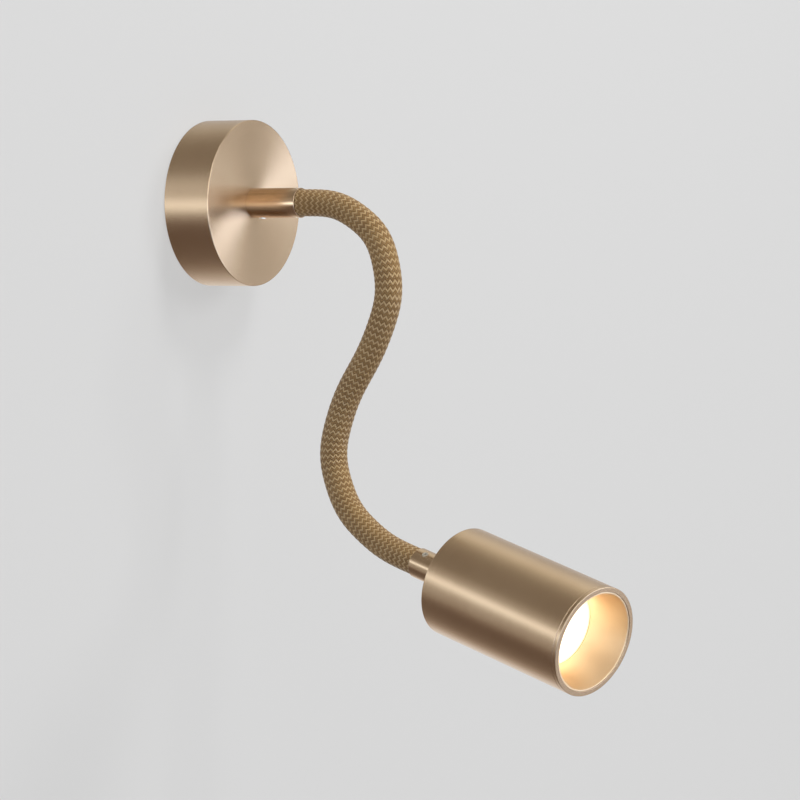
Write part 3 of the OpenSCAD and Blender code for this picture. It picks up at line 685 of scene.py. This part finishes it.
def span(i, first, last):
    """Lengths along the arm from the middle of the link before joint i to the middle of the next one."""
    start = first if i == 0 else (i - 0.5) * LINK_PITCH
    end = last if i == len(JOINTS) - 1 else (i + 0.5) * LINK_PITCH
    return start, end


def bend_with(piece, i, give=11.0, held=7.5):
    """Bakes the piece's place into its mesh; nothing here makes it bend between the two bodies that joint i
    joins.

    The points within give of the joint, or within held on the side of a ferrule, are worked out but not used.
    """
    before = held if i == 0 else give
    after = held if i == len(JOINTS) - 1 else give
    ends, _ = along_arm(np.array([i * LINK_PITCH - before, i * LINK_PITCH + after]))
    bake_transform(piece)


def around(points, turns, radius, turn):
    """Rings of points: centre + radius (cos a x + sin a y), with a the turn from 0 to 1."""
    a = 2 * math.pi * turn
    across = np.stack([np.cos(a), np.sin(a), np.zeros_like(a)], -1)
    return points[:, None] + radius[..., None] * (across @ np.swapaxes(turns, 1, 2))


def braid_length(i):
    """One length of the sleeve: the braid on the outside, and a plain lining that runs back inside it."""
    start, end = span(i, -STUB - GRIP_DEPTH, ARM_LEN + STUB + GRIP_DEPTH)
    outer = np.linspace(start, end, int((end - start) / BRAID_STEP))
    s = np.concatenate([outer, np.linspace(end, start, LINING_ROWS)])
    columns = STITCHES * STITCH_COLUMNS
    turn = np.arange(columns) / columns
    radius = np.full((len(s), columns), SLEEVE_IN_R + SLEEVE_EASE)
    radius[:len(outer)] = SLEEVE_R - SLEEVE_EASE + braid_relief(turn[None, :], outer[:, None])
    points, turns = smoothed_arm(s)
    return surface("sleeve_braid_%d" % (i + 1), around(points, turns, radius, turn), textile,
                   u=turn, v=(s - ROUTE_START) / ROUTE_SPAN)


def cable_length(i):
    """One length of the round cable in the arm's core, with its ends closed."""
    start, end = span(i, -STUB - FERRULE_LEN - ROSE_STACK - SHEATH_PAST,
                      ARM_LEN + STUB + FERRULE_LEN + HEAD_STACK + SHEATH_PAST)
    s = np.linspace(start, end, CABLE_ROWS)
    s = np.concatenate([[start, start], s[1:-1], [end, end]])
    radius = np.full((len(s), CABLE_COLUMNS), CABLE_R)
    radius[[0, -1]] = 0
    grid = around(*along_arm(s), radius, np.arange(CABLE_COLUMNS) / CABLE_COLUMNS)
    return surface("cable_length_%d" % (i + 1), grid, sheath, closed=False)


for i in range(len(JOINTS)):
    piece = braid_length(i)
    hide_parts("sleeve_%d" % (i + 1))
    bend_with(piece, i)

    piece = cable_length(i)
    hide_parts("cable_%d" % (i + 1))
    bend_with(piece, i)

# The solids that stay as they are
KEPT = {
    zinc: ["wall_plate", "holder_bracket", "wall_nipple", "head_nipple"],
    screw_steel: ["cover_screws", "wall_grub_screw", "head_grub_screw", "holder_screws", "wall_washer"],
    pin_steel: ["lamp_pins"],
    brass: ["terminal_screws", "earth_screw", "wall_nut", "head_nut"],
    nylon: ["terminal_block"],
    porcelain: ["lampholder", "lamp_body"],
    lead_brown: ["lead_live", "head_lead_live"],
    lead_blue: ["lead_neutral", "head_lead_neutral"],
    lead_green: ["lead_earth"],
    core_steel: ["arm_socket", "arm_tail"] + ["link_%d" % i for i in range(1, 9)],
}
for material, names in KEPT.items():
    for name in names:
        CAD[name].data.materials.clear()
        CAD[name].data.materials.append(material)

# Stage: a pale wall behind the light, a pale floor far below it and a plain pale world
PALE, AMBIENT, OWN_GLOW = 0.70, 0.41, 0.68
STAGE_SIDE, STAGE_TOP, STAGE_FLOOR, STAGE_FRONT, STAGE_BACK, WALL_GAP = 4, 3, -1.2, -5, 3, 0.0004


def stage_finish(name):
    """A pale surface, clear from behind.

    Camera, glossy and transmitted rays see part of its colour as its own light, so it stays even, and the
    rest is lit, so shadows show.
    """
    f = Finish(name)
    camera_ray, glossy_ray, through_ray = f.outputs(
        "ShaderNodeLightPath", "Is Camera Ray", "Is Glossy Ray", "Is Transmission Ray")
    seen = camera_ray.math("MAXIMUM", glossy_ray).math("MAXIMUM", through_ray)
    pale = (PALE, PALE, PALE, 1)
    lit = f.node("ShaderNodeBsdfDiffuse", None, {"Color": pale})
    dim = f.node("ShaderNodeBsdfDiffuse", None, {"Color": (PALE * (1 - OWN_GLOW),) * 3 + (1,)})
    glow = f.node("ShaderNodeEmission", None, {"Color": pale, "Strength": OWN_GLOW})
    front = f.mix(seen, lit, f.node("ShaderNodeAddShader", None, {0: dim, 1: glow}))
    back = f.outputs("ShaderNodeNewGeometry", "Backfacing")[0]
    f.show(f.mix(back, front, f.node("ShaderNodeBsdfTransparent")))
    f.material.cycles.emission_sampling = "NONE"
    return f.material


def sheet_of_stage(name, corners, material):
    """One flat sheet of the stage, which no reflection shows."""
    mesh = bpy.data.meshes.new(name)
    mesh.from_pydata(corners, [], [(0, 1, 2, 3)])
    mesh.materials.append(material)
    piece = bpy.data.objects.new(name, mesh)
    bpy.context.scene.collection.objects.link(piece)
    piece.visible_glossy = False


sheet_of_stage("room_wall", [
    (-STAGE_SIDE, WALL_GAP, STAGE_FLOOR), (STAGE_SIDE, WALL_GAP, STAGE_FLOOR),
    (STAGE_SIDE, WALL_GAP, STAGE_TOP), (-STAGE_SIDE, WALL_GAP, STAGE_TOP)], stage_finish("pale wall"))
sheet_of_stage("room_floor", [
    (-STAGE_SIDE, STAGE_FRONT, STAGE_FLOOR), (STAGE_SIDE, STAGE_FRONT, STAGE_FLOOR),
    (STAGE_SIDE, STAGE_BACK, STAGE_FLOOR), (-STAGE_SIDE, STAGE_BACK, STAGE_FLOOR)],
    stage_finish("pale floor"))

# Soft light panels of the studio, which only reflections show: direction, tightness, strength and colour
PANELS = [
    ((0.42, -0.87, -0.22), 60.0, 4.6, (1.0, 1.2, 1.65)),
    ((0.6, -0.79, -0.04), 60.0, 3.8, (1.0, 1.12, 1.25)),
    ((-0.58, -0.81, -0.06), 60.0, 4.5, (1.0, 1.1, 1.2)),
    ((-0.5, -0.81, 0.3), 120.0, 9.5, (1.0, 1.1, 1.2)),
    ((-0.34, -0.74, 0.58), 120.0, 9.5, (1.0, 1.1, 1.2)),
    ((0.03, -0.64, 0.76), 100.0, 3.4, (1.0, 1.1, 1.2)),
    ((0.45, -0.41, 0.79), 100.0, 2.2, (1.0, 1.1, 1.2)),
    ((0.5, 0.05, 0.86), 12.0, 0.75, (1.0, 1.04, 0.95)),
    ((0.75, 0.5, -0.45), 5.0, 0.5, (1.0, 0.98, 0.95)),
]
# Bright level bands of the studio: height, spread, strength and colour
SIDE_BAND = (-0.045, 0.125, 2.7, (1.0, 1.15, 1.3))
FRONT_BAND = (-0.26, 0.32, 1.55, (1.0, 1.45, 2.2))
SIDE_BAND_RISE = 0.31
# The even light of the room, and the shares that its darker parts take from it, from its green and its blue
ROOM_LEVEL, ROOM_GREEN, ROOM_BLUE = 0.5, 0.98, 0.95
LOW_LEFT, HIGH_LEFT, FAR_RIGHT = (0.64, 0.21, 0.3), (0.36, 0.05, 0.12), 0.22
FAR_LEFT = 0.2


def studio():
    """The room: even and pale for scattered light, soft panels and bright bands for reflections.

    A panel adds strength x exp(tightness x (cosine of the angle to it - 1)). A band adds
    strength x exp(-((height - its own height) / spread) squared): the side band on the left, strongest
    half way to the wall and rising next to it, and the front band at the front left. The room is darker
    and warmer low and high on the left, darker at the far right in front, and brighter at the far left in
    front. Heights and places are components of the direction, so they run from -1 to 1.
    """
    world = bpy.data.worlds.new("room")
    bpy.context.scene.world = world
    world.use_nodes = True
    world.cycles.sampling_method = "NONE"
    f = Shading(world.node_tree, "ShaderNodeOutputWorld")
    way = f.outputs("ShaderNodeTexCoord", "Generated")[0]
    x, y, z = f.split(way)

    # Parts of the room, each 1 inside and 0 outside
    left = f.step(x, 0.35, -0.45)
    front = f.step(y, -0.25, -0.45)
    low_left = f.step(z, -0.16, -0.42) * f.step(x, 0.62, 0.15)
    high_left = f.step(z, 0.42, 0.62) * f.step(x, 0.6, 0.25)
    far_left = front * f.step(x, -0.3, -0.7) * f.step(z, -0.12, 0.1)
    far_right = f.step(x, 0.7, 0.85) * f.step(y, -0.25, -0.5)
    front_left = front * f.step(y, -0.85, -0.65) * f.step(x, -0.1, -0.5)

    level = ((1.0 - low_left * LOW_LEFT[0]) * (1.0 - high_left * HIGH_LEFT[0])
             * (1.0 - far_right * FAR_RIGHT) * ROOM_LEVEL + far_left * FAR_LEFT)
    light = f.node("ShaderNodeCombineXYZ", None, {
        0: level,
        1: level * (ROOM_GREEN - low_left * LOW_LEFT[1] - high_left * HIGH_LEFT[1]),
        2: level * (ROOM_BLUE - low_left * LOW_LEFT[2] - high_left * HIGH_LEFT[2])})

    height, spread, strength, colour = SIDE_BAND
    rise = f.step(y, 0.55, 0.78) * SIDE_BAND_RISE
    share = (f.step(y, 0.1, 0.4) * 0.85 + 0.15) * (1.0 - f.step(y, 0.55, 0.82) * 0.55)
    sources = [(left * f.bell(z - height - rise, spread) * share * strength, colour)]
    height, spread, strength, colour = FRONT_BAND
    sources.append((front_left * f.bell(z - height, spread) * strength, colour))
    for centre, tight, strength, colour in PANELS:
        centre = np.array(centre) / np.linalg.norm(centre)
        near = f.vector("DOT_PRODUCT", way, tuple(centre), out=1)
        sources.append((((near - 1.0) * tight).math("EXPONENT") * strength, colour))
    for strength, colour in sources:
        light = f.vector("ADD", light, f.scaled(colour, strength))

    camera_ray, glossy_ray = f.outputs("ShaderNodeLightPath", "Is Camera Ray", "Is Glossy Ray")
    plain = f.blend(camera_ray, (AMBIENT, AMBIENT, AMBIENT, 1), (PALE, PALE, PALE, 1))
    f.show(f.node("ShaderNodeBackground", None, {"Color": f.blend(glossy_ray, plain, light)}))


studio()


# Lamps, which light what isn't metal
LAMP_AIM = Vector((0, -0.11, -0.1))


def lamp(name, at, size, watts):
    """A soft square lamp that looks at the middle of the light and shows in no reflection."""
    light = bpy.data.lights.new(name, "AREA")
    light.shape, light.size, light.energy = "SQUARE", size, watts
    made = bpy.data.objects.new(name, light)
    made.location = at
    made.rotation_euler = (LAMP_AIM - Vector(at)).to_track_quat("-Z", "Y").to_euler()
    made.visible_glossy = False
    bpy.context.scene.collection.objects.link(made)


lamp("key", (0.95, -1.8, 0.7), 0.8, 15)
lamp("fill", (-1.4, -1.5, 0.5), 1.2, 3)
lamp("top", (0.15, -0.9, 1.5), 0.5, 18)

# Camera at the photograph's place, found by fitting the rose, the arm and the head to their outlines
AZIMUTH, ELEVATION, ROLL = map(math.radians, (-58.419, 3.532, -0.701))
LOOKS_AT, DISTANCE = Vector((0, -0.105909, -0.093309)), 1.824155
FOCAL_PIXELS, PICTURE_PIXELS, SENSOR_MM = 3861.195, 800, 36
back = Vector((math.sin(AZIMUTH) * math.cos(ELEVATION), -math.cos(AZIMUTH) * math.cos(ELEVATION),
               math.sin(ELEVATION)))
right = Vector((math.cos(AZIMUTH), math.sin(AZIMUTH), 0))
up = back.cross(right)
right, up = (math.cos(ROLL) * right + math.sin(ROLL) * up,
             -math.sin(ROLL) * right + math.cos(ROLL) * up)
camera = bpy.data.objects.new("camera", bpy.data.cameras.new("camera"))
bpy.context.scene.collection.objects.link(camera)
camera.data.sensor_width = SENSOR_MM
camera.data.lens = FOCAL_PIXELS / PICTURE_PIXELS * SENSOR_MM
camera.data.clip_start, camera.data.clip_end = 0.05, 30
facing = Matrix((right, up, back)).transposed().to_4x4()
camera.matrix_world = Matrix.Translation(LOOKS_AT + back * DISTANCE) @ facing
bpy.context.scene.camera = camera
bpy.context.scene.view_settings.view_transform = "Standard"
